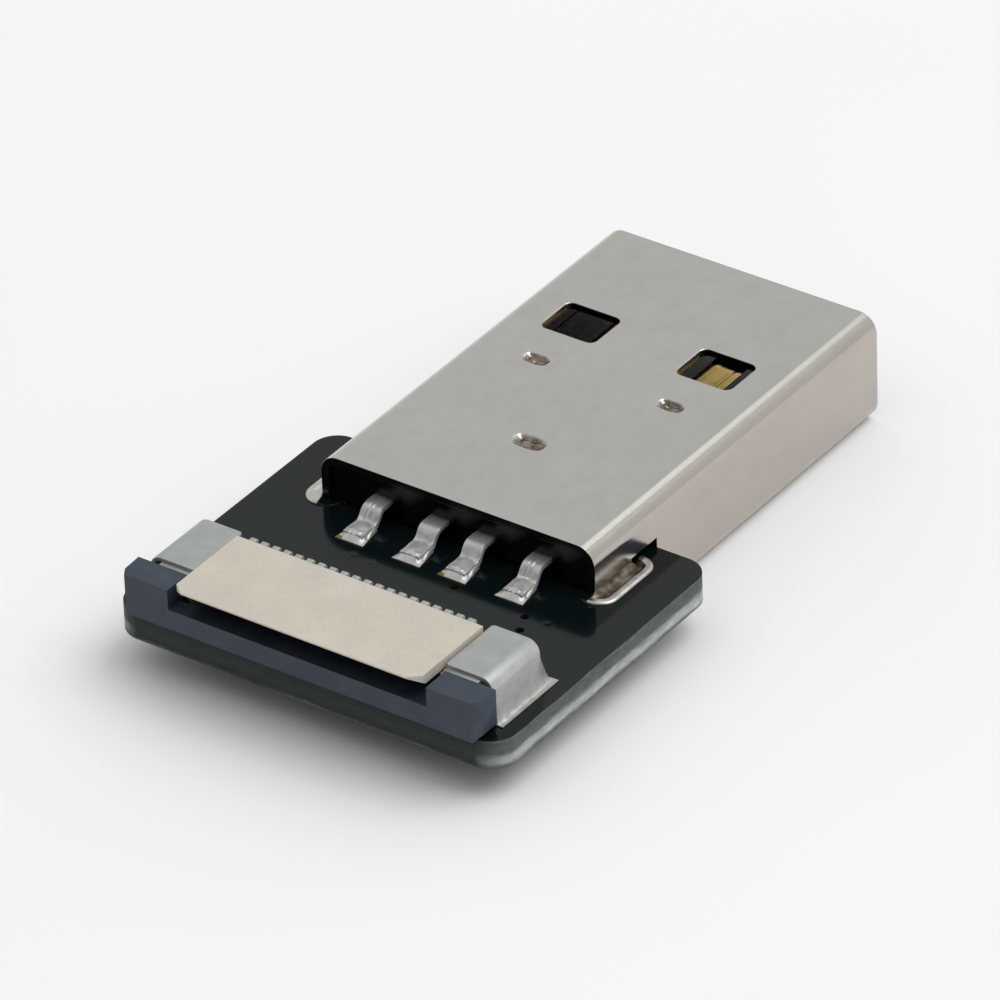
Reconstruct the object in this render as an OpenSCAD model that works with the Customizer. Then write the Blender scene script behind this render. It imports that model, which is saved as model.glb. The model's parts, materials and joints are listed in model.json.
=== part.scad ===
// Plug adapter board: a Standard-A data plug sunk into the cut-out of a small
// circuit board, with a 0.5 mm pitch ribbon-cable connector at the other end.
// +Y points out of the plug's mouth, +Z is the side the wiring is on, and the
// origin is under the middle of the assembly, on the surface it lies on.

/* [Plug shell] */
// Outer width of the shell
shell_w = 12; // [11.9:0.05:12.1]
// Outer height of the shell
shell_h = 4.5; // [4.4:0.05:4.6]
// Length of the shell's top plate
shell_len = 18.35; // [17:0.05:20]
// Thickness of the folded sheet
sheet_t = 0.3; // [0.25:0.01:0.32]
// Outer radius of the four long bends
bend_r = 0.75; // [0.6:0.05:0.85]
// Height of the shell's top plate above the board's top face
shell_above = 1.97; // [1.9:0.01:2.1]
// Width of a retention window
window_w = 2.4; // [2:0.02:2.5]
// Length of a retention window
window_l = 1.98; // [1.5:0.02:2]
// Distance of a window's centre from the middle plane
window_x = 3; // [2.8:0.02:3.1]
// Distance of a window's centre from the mouth
window_in = 6.12; // [6:0.02:6.4]
// Depth of the pressed dents
dent_d = 0.2; // [0.1:0.02:0.22]

/* [Plug insulator and contacts] */
// Distance from the mouth to the insulator's block
cavity_d = 9.6; // [9.3:0.05:9.7]
// Height of the cavity over the tongue
cavity_h = 2.05; // [1.95:0.01:2.1]
// Offset of the two data contacts from the middle plane
data_x = 1; // [0.95:0.01:1.05]
// Offset of the two supply contacts from the middle plane
supply_x = 3.5; // [3.4:0.05:3.6]
// Width of a supply contact on the tongue
contact_w = 1.2; // [1:0.05:1.25]
// Width of a data contact on the tongue
data_w = 1.36; // [1:0.02:1.4]
// How far a data contact's blade is set outwards from its tail
data_shift = 0.2; // [0:0.02:0.25]
// Width of a contact's tail
tail_w = 0.84; // [0.6:0.02:0.88]
// Thickness of the contact strip
contact_t = 0.2; // [0.15:0.01:0.2]

/* [Circuit board] */
// Width of the board
board_w = 16.9; // [16.6:0.1:18]
// Length of the board from its front edge to the shell's rear edge
board_front = 9.5; // [9.5:0.05:11]
// Length of the board's arms beside the shell
board_arm = 3.85; // [3.6:0.05:4]
// Thickness of the board
board_t = 1.2; // [1:0.05:1.3]
// Radius of the two corners by the ribbon connector
corner_front_r = 1.1; // [0.5:0.1:1.5]
// Radius of the two corners on the arms
corner_arm_r = 1; // [0.5:0.1:1.2]
// Width of the cut-out for the plug
cutout_w = 10.4; // [10.3:0.05:10.5]
// Drill radius of the small plated holes
via_r = 0.2; // [0.15:0.01:0.25]

/* [Ribbon connector] */
// Number of ways
ways = 20; // [8:1:20]
// Distance between two contacts
pitch = 0.5; // [0.5:0.05:0.5]
// Height of the housing above the board
housing_h = 1.95; // [1.9:0.01:2]
// How far the slider pulls out to release the ribbon
slider_travel = 1.1; // [0.8:0.05:1.2]
// How far the slider is pulled out now
slider_open = 0; // [0:0.05:1.2]

/* [Hidden] */
$fn = 48;
eps = 0.01;

// Heights, measured from the board's top face
top_z = shell_above;
low_z = shell_above - shell_h;
mid_z = (top_z + low_z) / 2;
inner_top = top_z - sheet_t;
tongue_z = inner_top - cavity_h;
strip_z = tongue_z - 0.1;
lead_z = 0.65;
pad_t = 0.035;

// Distances along the plug, measured from the shell's rear edge
block_front = shell_len - cavity_d;
tongue_end = shell_len - 0.35;
floor_start = board_arm + 0.05;
wall_low = 0.36;
leg_l = 2.3;
leg_end = -board_t - 0.45;

// The plated slots that the shell's legs go through
slot_w = 0.86;
slot_l = 3.1;
slot_x = 6.03;
slot_y = 1.28;
ring_w = 1.5;
ring_l = 3.5;
plating = 0.03;

// Ribbon connector, measured from the shell's rear edge and the middle plane
front_y = -9.97;
housing_rear = -5.93;
half_w = (ways - 1) * pitch / 2 + 0.6;
side_x = half_w + 1.65;
slider_x = half_w + 2.42;
ear_in = half_w + 0.27;
nail_t = 0.17;
nail_top = 1.8;
nail_r = 0.5;
nail_in = half_w + 0.1;
nail_out = half_w + 2.1;
nail_y0 = -8.36;
nail_y1 = -5.47;
slider_front = -9.8;
ear_rear = -8.6;

// From the board's frame to the part's own frame
shift_y = -(shell_len + front_y) / 2;
shift_z = -low_z;

via_points = [[1.36, -2.16], [4.58, -2.36], [4.9, -3.14], [5.49, -2.28],
    [-2.88, -2.41], [-2.07, -2.5]];
lead_points = [-supply_x, -data_x, data_x, supply_x];

function unit(v) = v / norm(v);
function perp(v) = [-v[1], v[0]];
// Offset of point i of path p to the side of a strip t thick
function side(p, i, t) =
    let (n = len(p),
         a = i > 0 ? unit(p[i] - p[i - 1]) : unit(p[1] - p[0]),
         b = i < n - 1 ? unit(p[i + 1] - p[i]) : unit(p[n - 1] - p[n - 2]),
         m = unit(perp(a) + perp(b)))
    m * t / 2 / (m * perp(a));
// Outline of a strip t thick that follows path p
function strip(p, t) = concat(
    [for (i = [0 : len(p) - 1]) p[i] + side(p, i, t)],
    [for (i = [len(p) - 1 : -1 : 0]) p[i] - side(p, i, t)]);

module at_board() translate([0, shift_y, shift_z]) children();

// Rectangle with round corners, centred
module round_rect(w, h, r) {
    square([w - 2 * r, h], center = true);
    square([w, h - 2 * r], center = true);
    for (x = [-1, 1], y = [-1, 1])
        translate([x * (w / 2 - r), y * (h / 2 - r)]) circle(r);
}

// Extrudes an X-Z section from y0 to y1
module along_y(y0, y1)
    translate([0, y1, 0]) rotate([90, 0, 0]) linear_extrude(y1 - y0) children();

// Extrudes a Y-Z section to width w, centred on x
module across_x(x, w)
    translate([x - w / 2, 0, 0]) rotate([90, 0, 90]) linear_extrude(w) children();

module box(x0, x1, y0, y1, z0, z1)
    translate([x0, y0, z0]) cube([x1 - x0, y1 - y0, z1 - z0]);

// Oblong plate or hole, long in Y
module oblong(w, l, z0, z1)
    translate([0, 0, z0]) linear_extrude(z1 - z0) {
        square([w, l - w], center = true);
        for (y = [-1, 1]) translate([0, y * (l - w) / 2]) circle(w / 2);
    }

// ---------------------------------------------------------------- board

module board_outline() {
    translate([0, -board_front / 2]) round_rect(board_w, board_front, corner_front_r);
    translate([0, (board_arm - 4) / 2]) round_rect(board_w, board_arm + 4, corner_arm_r);
}

module circuit_board() color([0.1, 0.11, 0.12]) at_board() difference() {
    translate([0, 0, -board_t]) linear_extrude(board_t) board_outline();
    box(-cutout_w / 2, cutout_w / 2, 0.15, board_arm + 1, -board_t - 1, 1);
    for (s = [-1, 1]) translate([s * slot_x, slot_y, 0])
        oblong(slot_w, slot_l, -board_t - 1, 1);
    for (p = via_points) translate([p[0], p[1], -board_t - 1])
        cylinder(r = via_r, h = board_t + 2, $fn = 24);
}

module plated_slot() difference() {
    union() {
        oblong(ring_w, ring_l, 0, pad_t);
        oblong(slot_w, slot_l, -board_t - pad_t, pad_t);
        oblong(ring_w, ring_l, -board_t - pad_t, -board_t);
    }
    oblong(slot_w - 2 * plating, slot_l - 2 * plating, -board_t - 1, 1);
}

module plated_hole() difference() {
    union() {
        cylinder(r = via_r + 0.12, h = pad_t, $fn = 24);
        translate([0, 0, -board_t]) cylinder(r = via_r, h = board_t + pad_t, $fn = 24);
        translate([0, 0, -board_t - pad_t]) cylinder(r = via_r + 0.12, h = pad_t, $fn = 24);
    }
    translate([0, 0, -board_t - 1]) cylinder(r = via_r - plating, h = board_t + 2, $fn = 24);
}

// Pad of a tail, wider at the front (w0) than at the rear (w1)
module lead_foot(w0, w1, y0, y1, z0, z1)
    translate([0, 0, z0]) linear_extrude(z1 - z0)
        polygon([[-w0 / 2, y0], [w0 / 2, y0], [w1 / 2, y1], [-w1 / 2, y1]]);

module copper_pads() color([0.85, 0.7, 0.35]) at_board() {
    for (x = lead_points) translate([x, 0, 0]) lead_foot(1.24, 0.92, -1.84, -0.7, 0, pad_t);
    for (s = [-1, 1]) {
        translate([s * slot_x, slot_y, 0]) plated_slot();
        mirror([s < 0 ? 1 : 0, 0, 0]) translate([nail_out - 0.45, -6.7, 0])
            box(-0.72, 0.88, -1.74, 1.68, 0, pad_t);
    }
    for (i = [0 : ways - 1])
        translate([(i - (ways - 1) / 2) * pitch, 0, 0])
            box(-0.15, 0.15, -5.8, -4.62, 0, pad_t);
    for (p = via_points) translate([p[0], p[1], 0]) plated_hole();
}

// ---------------------------------------------------------------- plug

// A dent is an island of the sheet pressed down, the sheet still whole round it
module dent_pocket(x, y, w, l)
    translate([x, y, top_z - dent_d]) linear_extrude(1) round_rect(w, l, 0.22);
module dent_boss(x, y, w, l, grow = 0)
    translate([x, y, inner_top - dent_d - grow])
        linear_extrude(dent_d + grow + 0.05) round_rect(w + 2 * grow, l + 2 * grow, 0.22 + grow);

module shell_leg(s)
    across_x(s * (shell_w - sheet_t) / 2, sheet_t)
        polygon([[0, wall_low + 0.2], [leg_l, wall_low + 0.2], [leg_l, -board_t - 0.1],
            [leg_l - 0.35, leg_end], [0.35, leg_end], [0, -board_t - 0.1]]);

module plug_shell() color([0.7, 0.69, 0.67]) at_board() {
    difference() {
        union() {
            difference() {
                along_y(0, shell_len) translate([0, mid_z]) round_rect(shell_w, shell_h, bend_r);
                along_y(-1, shell_len + 1) translate([0, mid_z])
                    round_rect(shell_w - 2 * sheet_t, shell_h - 2 * sheet_t, bend_r - sheet_t);
            }
            for (s = [-1, 1]) dent_boss(s * 2.97, 9.32, 1.1, 0.68);
            dent_boss(0, 4.62, 1.4, 0.86);
        }
        // the lower half stops behind the board's arms
        box(-shell_w, shell_w, -1, floor_start, low_z - 1, wall_low);
        for (s = [-1, 1]) {
            dent_pocket(s * 2.97, 9.32, 1.1, 0.68);
            for (z = [top_z, low_z])
                translate([s * window_x, shell_len - window_in, z - 1])
                    linear_extrude(2) round_rect(window_w, window_l, 0.3);
        }
        dent_pocket(0, 4.62, 1.4, 0.86);
        // butt seam with one dovetail, underneath
        box(-0.03, 0.03, -1, 9.2, low_z - 1, low_z + 1);
        box(-0.03, 0.03, 14.2, shell_len + 1, low_z - 1, low_z + 1);
        translate([0, 0, low_z - 1]) linear_extrude(2)
            polygon(strip([[0, 9.2], [0.9, 8.9], [0.9, 14.5], [0, 14.2]], 0.06));
    }
    for (s = [-1, 1]) shell_leg(s);
}

// Path of a contact on the tongue and of its tail, in Y and Z
function blade_path(tip) = [[tip, strip_z - 0.3], [tip - 0.35, strip_z - contact_t / 2],
    [3, strip_z - contact_t / 2]];
function tail_path() = [[3.4, strip_z - contact_t / 2], [2.9, strip_z - contact_t / 2],
    [2.4, lead_z], [-0.3, lead_z], [-0.64, 0.16], [-1.6, 0.16]];
function tip_y(x) = abs(x) < 2 ? tongue_end - 2 : tongue_end - 0.9;
function blade_w(x) = abs(x) < 2 ? data_w : contact_w;
function blade_x(x) = abs(x) < 2 ? x + sign(x) * data_shift : x;

module contact(x, grow = 0) {
    across_x(blade_x(x), blade_w(x) + 2 * grow) polygon(strip(blade_path(tip_y(x)), contact_t + 2 * grow));
    across_x(x, tail_w + 2 * grow) polygon(strip(tail_path(), contact_t + 2 * grow));
}

module plug_insulator() color([0.05, 0.05, 0.06]) at_board() difference() {
    union() {
        along_y(0.25, block_front) translate([0, mid_z])
            round_rect(shell_w - 2 * sheet_t - 0.06, shell_h - 2 * sheet_t - 0.06, bend_r - sheet_t - 0.03);
        along_y(block_front - 0.1, tongue_end) difference() {
            translate([0, mid_z])
                round_rect(shell_w - 2 * sheet_t - 0.06, shell_h - 2 * sheet_t - 0.06, bend_r - sheet_t - 0.03);
            translate([-shell_w, tongue_z]) square([2 * shell_w, 10]);
        }
    }
    // beside the board's arms and over the tab joints
    for (s = [-1, 1]) translate([s * shell_w, 0, 0])
        box(-shell_w + 5.1, shell_w - 5.1, -1, floor_start + 0.04, low_z, 0.16);
    box(-shell_w, shell_w, -1, floor_start + 0.04, low_z - 1, -board_t - 0.5);
    // lead-in on the tongue's front edge
    translate([0, tongue_end, tongue_z]) rotate([45, 0, 0])
        box(-shell_w, shell_w, -0.25, 0.25, -0.25, 0.25);
    dent_boss(0, 4.62, 1.4, 0.86, 0.04);
    for (x = lead_points) {
        contact(x, 0.02);
        // open groove on the tongue, and a pocket round the tail
        box(blade_x(x) - blade_w(x) / 2 - 0.02, blade_x(x) + blade_w(x) / 2 + 0.02, block_front - eps, tip_y(x) + 0.12,
            strip_z - 0.5 + contact_t, tongue_z + 1);
        box(x - 0.5, x + 0.5, 0, 0.55, lead_z - 0.3, lead_z + 0.26);
        box(blade_x(x) - blade_w(x) / 2 - 0.02, blade_x(x) + blade_w(x) / 2 + 0.02, tip_y(x) - 0.5, tip_y(x) + 0.12,
            strip_z - 0.45, tongue_z + 0.5);
    }
}

module supply_contact() color([0.85, 0.7, 0.35]) at_board() contact(-supply_x);
module data_contact_minus() color([0.85, 0.7, 0.35]) at_board() contact(-data_x);
module data_contact_plus() color([0.85, 0.7, 0.35]) at_board() contact(data_x);
module ground_contact() color([0.85, 0.7, 0.35]) at_board() contact(supply_x);

// Solder round the foot of one tail: a thin bed and a fillet on each side
module lead_solder(x) color([0.75, 0.75, 0.75]) at_board() {
    translate([x, 0, 0]) lead_foot(1.2, 0.9, -1.8, -0.74, pad_t, 0.06);
    for (s = [-1, 1]) translate([x, 0, 0]) mirror([s < 0 ? 1 : 0, 0, 0])
        along_y(-1.8, -1.5) polygon([[tail_w / 2, pad_t], [0.57, pad_t], [0.55, 0.09],
            [tail_w / 2, 0.24]]);
    box(x - 0.5, x + 0.5, -1.8, -1.6, pad_t, 0.18);
}
module lead_solder_1() lead_solder(lead_points[0]);
module lead_solder_2() lead_solder(lead_points[1]);
module lead_solder_3() lead_solder(lead_points[2]);
module lead_solder_4() lead_solder(lead_points[3]);

// Solder that fills a plated slot round the shell's leg
module tab_solder(s) color([0.75, 0.75, 0.75]) at_board() difference() {
    translate([s * slot_x, slot_y, 0]) {
        oblong(slot_w - 2 * plating, slot_l - 2 * plating, -board_t - pad_t, pad_t);
        oblong(ring_w - 0.06, ring_l - 0.06, pad_t, pad_t + 0.07);
        oblong(ring_w - 0.06, ring_l - 0.06, -board_t - pad_t - 0.2, -board_t - pad_t);
        intersection() {
            translate([-s * 0.05, -0.1, pad_t]) oblong(ring_w - 0.2, ring_l - 0.7, 0, 0.2);
            translate([s * (0.02 + 1), 0, 0]) box(-1, 1, -3, 3, -1, 1);
        }
    }
    shell_leg(s);
}
module tab_solder_left() tab_solder(-1);
module tab_solder_right() tab_solder(1);

// ---------------------------------------------------------------- ribbon connector

module ribbon_housing() color([0.8, 0.77, 0.7]) at_board() difference() {
    union() {
        // roof, its two front corners cut off
        translate([0, 0, 1.55]) linear_extrude(housing_h - 1.55)
            polygon([[-half_w, housing_rear], [half_w, housing_rear], [half_w, front_y + 0.4],
                [half_w - 0.48, front_y], [-half_w + 0.48, front_y], [-half_w, front_y + 0.4]]);
        // floor and rear wall
        box(-ear_in + 0.05, ear_in - 0.05, -9.05, housing_rear, 0.06, 0.3);
        box(-half_w, half_w, -6.6, housing_rear, 0.06, housing_h);
        for (s = [-1, 1]) mirror([s < 0 ? 1 : 0, 0, 0])
            box(half_w - 0.03, side_x, ear_rear + 0.09, housing_rear + 0.3, 0.06, nail_top - 2 * nail_t - 0.02);
    }
    // grooves for the contacts, and holes that their arms pass through
    for (i = [0 : ways - 1]) translate([(i - (ways - 1) / 2) * pitch, 0, 0]) {
        box(-0.12, 0.12, -6.45, housing_rear + 1, 0.3, 1.55);
        box(-0.11, 0.11, -7, -6.4, 0.32, 0.54);
        box(-0.11, 0.11, -7, -6.4, 1.32, 1.52);
    }
    // channels for the slider's arms
    for (s = [-1, 1]) mirror([s < 0 ? 1 : 0, 0, 0])
        box(half_w + 0.42, half_w + 1.24, -9, -6.4, 0.39, 1.11);
    // the roof is thin at its front edge
    translate([0, front_y, 1.89]) rotate([-32, 0, 0])
        box(-half_w - 1, half_w + 1, -1, 0.64, -1, 0);
}

module ribbon_slider() color([0.25, 0.27, 0.32]) at_board() translate([0, -slider_open, 0]) {
    difference() {
        union() {
            // front bar and tongue
            box(-slider_x, slider_x, slider_front, slider_front + 0.7, 0.04, 0.88);
            box(-half_w + 0.1, half_w - 0.1, slider_front + 0.5, -7.2, 0.6, 0.88);
            for (s = [-1, 1]) mirror([s < 0 ? 1 : 0, 0, 0]) {
                // ear, its outer front edge cut off
                translate([0, 0, 0.04]) linear_extrude(1.66)
                    polygon([[ear_in, slider_front], [slider_x - 0.25, slider_front],
                        [slider_x - 0.04, slider_front + 0.34], [slider_x, ear_rear], [ear_in, ear_rear]]);
                // arm that runs in the housing's channel
                box(half_w + 0.48, half_w + 1.18, ear_rear - 0.1, -6.6, 0.45, 1.05);
            }
        }
        for (s = [-1, 1]) mirror([s < 0 ? 1 : 0, 0, 0]) {
            // the bar's ends follow the ear's cut edge
            translate([slider_x, slider_front, -1]) linear_extrude(4)
                polygon([[-0.25, 0], [-0.04, 0.34], [0, 0.8], [1, 0.8], [1, -1], [-0.25, -1]]);
            // the ear's lower outer edge is broken
            translate([slider_x, 0, 0.04]) rotate([0, 45, 0])
                box(-0.16, 0.16, slider_front - 1, ear_rear + 1, -0.16, 0.16);
        }
        // lead-in on the tongue's rear edge
        translate([0, -7.55, 0.88]) rotate([-30, 0, 0])
            box(-half_w, half_w, 0, 1, 0, 1);
    }
}

// One stamped fork: upper arm with a contact bump, lower arm, rear leg and tail
module fork() {
    across_x(0, 0.2) polygon([
        [-9, 1.28], [-8.85, 1.26], [-8.65, 1.34], [-6.45, 1.34], [-6.3, 1.2],
        [-6.3, 0.64], [-6.45, 0.52], [-8.2, 0.52], [-8.2, 0.34], [-5.88, 0.34], [-5.88, 0.05],
        [-4.85, 0.05], [-4.85, 0.2], [-5.55, 0.2], [-5.67, 0.32], [-5.67, 1.5], [-9, 1.5]]);
    // the wider stub that closes its slot
    across_x(0, 0.27) polygon([[-5.9, 1.2], [-5.63, 1.2], [-5.63, 1.84], [-5.7, 1.93], [-5.9, 1.93]]);
}

module ribbon_contacts() color([0.75, 0.75, 0.73]) at_board()
    for (i = [0 : ways - 1]) translate([(i - (ways - 1) / 2) * pitch, 0, 0]) fork();

module ribbon_solder() color([0.75, 0.75, 0.75]) at_board()
    for (i = [0 : ways - 1]) translate([(i - (ways - 1) / 2) * pitch, 0, 0])
        across_x(0, 0.26) polygon([[-5.75, pad_t], [-4.65, pad_t], [-4.72, 0.1],
            [-4.85, 0.17], [-4.85, 0.05], [-5.75, 0.05]]);

// Fitting nail: a strip over the housing's end, bent down to its pad
module fitting_nail() {
    box(nail_in, nail_out - nail_r, nail_y0, nail_y1, nail_top - nail_t, nail_top);
    // its front edge is folded back under
    box(nail_in, nail_out - nail_r - 0.02, nail_y0 - 0.17, nail_y0 + 0.8, nail_top - 2 * nail_t, nail_top - nail_t);
    box(nail_out - nail_t, nail_out, nail_y0, nail_y1, 0.06, nail_top - nail_r);
    box(nail_out - nail_t, nail_out, nail_y0 + 0.2, nail_y1 + 0.4, 0.06, 0.2);
    intersection() {
        translate([nail_out - nail_r, nail_y1, nail_top - nail_r]) rotate([90, 0, 0]) difference() {
            cylinder(r = nail_r, h = nail_y1 - nail_y0);
            translate([0, 0, -1]) cylinder(r = nail_r - nail_t, h = nail_y1 - nail_y0 + 2);
        }
        box(nail_out - nail_r, nail_out + 1, nail_y0 - 1, nail_y1 + 1, nail_top - nail_r, nail_top + 1);
    }
}
module fitting_nail_left() color([0.72, 0.73, 0.72]) at_board() mirror([1, 0, 0]) fitting_nail();
module fitting_nail_right() color([0.72, 0.73, 0.72]) at_board() fitting_nail();

module nail_solder() {
    along_y(nail_y0 + 0.12, nail_y1 + 0.4) polygon([[nail_out, 0.5], [nail_out + 0.08, 0.26],
        [nail_out + 0.38, pad_t], [nail_out, pad_t]]);
    box(nail_out - nail_t - 0.1, nail_out + 0.01, nail_y0 + 0.12, nail_y1 + 0.4, pad_t, 0.06);
}
module nail_solder_left() color([0.75, 0.75, 0.75]) at_board() mirror([1, 0, 0]) nail_solder();
module nail_solder_right() color([0.75, 0.75, 0.75]) at_board() nail_solder();

// ---------------------------------------------------------------- assembly

circuit_board();
copper_pads();
plug_shell();
plug_insulator();
supply_contact();
data_contact_minus();
data_contact_plus();
ground_contact();
lead_solder_1();
lead_solder_2();
lead_solder_3();
lead_solder_4();
tab_solder_left();
tab_solder_right();
ribbon_housing();
ribbon_slider();
ribbon_contacts();
ribbon_solder();
fitting_nail_left();
fitting_nail_right();
nail_solder_left();
nail_solder_right();
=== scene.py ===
import bpy, bmesh, math, json
from mathutils import Vector, Matrix, noise


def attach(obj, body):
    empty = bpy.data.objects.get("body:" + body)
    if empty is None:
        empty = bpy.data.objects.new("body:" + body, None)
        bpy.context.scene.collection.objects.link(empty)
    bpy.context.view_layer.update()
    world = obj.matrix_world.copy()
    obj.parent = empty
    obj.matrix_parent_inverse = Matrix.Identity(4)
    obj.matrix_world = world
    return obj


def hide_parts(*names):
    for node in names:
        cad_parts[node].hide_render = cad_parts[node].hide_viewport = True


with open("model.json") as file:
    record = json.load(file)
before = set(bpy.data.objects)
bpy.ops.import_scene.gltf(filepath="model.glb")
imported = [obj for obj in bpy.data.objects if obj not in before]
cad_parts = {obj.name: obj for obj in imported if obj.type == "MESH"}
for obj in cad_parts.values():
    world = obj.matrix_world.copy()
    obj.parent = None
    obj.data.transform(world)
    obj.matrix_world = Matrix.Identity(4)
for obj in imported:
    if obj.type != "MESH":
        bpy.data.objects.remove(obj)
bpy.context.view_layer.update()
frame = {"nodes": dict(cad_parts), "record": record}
NODES = frame["nodes"]
REC = frame["record"]
MM = 0.001
SY, SZ = -4.19, 2.53            # board frame (shell's rear edge, board's top) to the part's frame
BODY = {n: b for b, ns in REC["behaviour"]["bodies"].items() for n in ns}
SLOT = {s["node"]: s["material_slot"] for s in REC["subparts"]}


def P(x, y, z):
    return Vector((x * MM, (y + SY) * MM, (z + SZ) * MM))


# ------------------------------------------------------------------ camera

cam_data = bpy.data.cameras.new("view_camera")
cam_data.lens = 336.107
cam_data.sensor_width = 36.0
cam_data.clip_start = 0.01
cam_data.clip_end = 5.0
cam = bpy.data.objects.new("view_camera", cam_data)
bpy.context.scene.collection.objects.link(cam)


def rodrigues(r):
    a = math.sqrt(sum(c * c for c in r))
    return Matrix.Rotation(a, 3, Vector(r) / a)


R = rodrigues((2.08496061, 0.63785708, -0.38593226))
M = Matrix.Identity(4)
for i, row in enumerate((R[0], -R[1], -R[2])):
    for j in range(3):
        M[j][i] = row[j]
M.translation = Vector((0.16594796, -0.22803006, 0.18864424))
cam.matrix_world = M
bpy.context.scene.camera = cam

# ------------------------------------------------------------------ materials


class Mat:
    """Small helper round a node tree."""

    def __init__(self, name):
        self.m = bpy.data.materials.new(name)
        self.m.use_nodes = True
        self.t = self.m.node_tree
        self.t.nodes.clear()
        self.out = self.n("ShaderNodeOutputMaterial")
        self.b = self.n("ShaderNodeBsdfPrincipled")
        self.l(self.b, "BSDF", self.out, "Surface")
        self.tc = self.n("ShaderNodeTexCoord")

    def n(self, kind, **kw):
        x = self.t.nodes.new(kind)
        for k, v in kw.items():
            setattr(x, k, v)
        return x

    def l(self, a, ao, b, bi):
        self.t.links.new(a.outputs[ao], b.inputs[bi])

    def set(self, **kw):
        for k, v in kw.items():
            self.b.inputs[k.replace("_", " ")].default_value = v

    def noise(self, scale, detail=3.0, rough=0.5, stretch=None, distortion=0.0):
        x = self.n("ShaderNodeTexNoise")
        x.inputs["Scale"].default_value = scale
        x.inputs["Detail"].default_value = detail
        x.inputs["Roughness"].default_value = rough
        x.inputs["Distortion"].default_value = distortion
        if stretch:
            mp = self.n("ShaderNodeMapping")
            mp.inputs["Scale"].default_value = stretch
            self.l(self.tc, "Object", mp, "Vector")
            self.l(mp, "Vector", x, "Vector")
        else:
            self.l(self.tc, "Object", x, "Vector")
        return x

    def ramp(self, src, out, stops, interp="LINEAR"):
        r = self.n("ShaderNodeValToRGB")
        r.color_ramp.interpolation = interp
        e = r.color_ramp.elements
        while len(e) > 1:
            e.remove(e[-1])
        for i, (p, c) in enumerate(stops):
            x = e[0] if i == 0 else e.new(p)
            x.position = p
            x.color = (c, c, c, 1) if isinstance(c, (int, float)) else (*c, 1)
        self.l(src, out, r, "Fac")
        return r

    def mix(self, fac, a, b, blend="MIX"):
        x = self.n("ShaderNodeMix", data_type="RGBA", blend_type=blend)
        for sock, v in ((0, fac), (6, a), (7, b)):
            if isinstance(v, tuple) and len(v) == 2 and hasattr(v[0], "outputs"):
                self.t.links.new(v[0].outputs[v[1]], x.inputs[sock])
            elif isinstance(v, (int, float)):
                x.inputs[sock].default_value = v if sock == 0 else (v, v, v, 1)
            else:
                x.inputs[sock].default_value = (*v, 1)
        return x

    def math(self, op, a, b=None, clamp=False):
        x = self.n("ShaderNodeMath", operation=op, use_clamp=clamp)
        for i, v in enumerate((a, b)):
            if v is None:
                continue
            if isinstance(v, (int, float)):
                x.inputs[i].default_value = v
            else:
                self.t.links.new(v[0].outputs[v[1]], x.inputs[i])
        return x

    def bump(self, src, out, dist, strength=1.0, chain=None):
        x = self.n("ShaderNodeBump")
        x.inputs["Distance"].default_value = dist
        x.inputs["Strength"].default_value = strength
        self.l(src, out, x, "Height")
        if chain:
            self.l(chain, "Normal", x, "Normal")
        return x

    def axis(self, i, lo, hi):
        """0..1 along object axis i from lo to hi (metres)."""
        s = self.n("ShaderNodeSeparateXYZ")
        self.l(self.tc, "Object", s, "Vector")
        r = self.n("ShaderNodeMapRange")
        r.inputs["From Min"].default_value = lo
        r.inputs["From Max"].default_value = hi
        self.t.links.new(s.outputs[i], r.inputs["Value"])
        return r


def srgb(r, g, b):
    def f(c):
        c /= 255.0
        return c / 12.92 if c <= 0.04045 else ((c + 0.055) / 1.055) ** 2.4
    return (f(r), f(g), f(b))


MATS = {}
TOP = 1.97                      # shell's top face above the board


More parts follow.
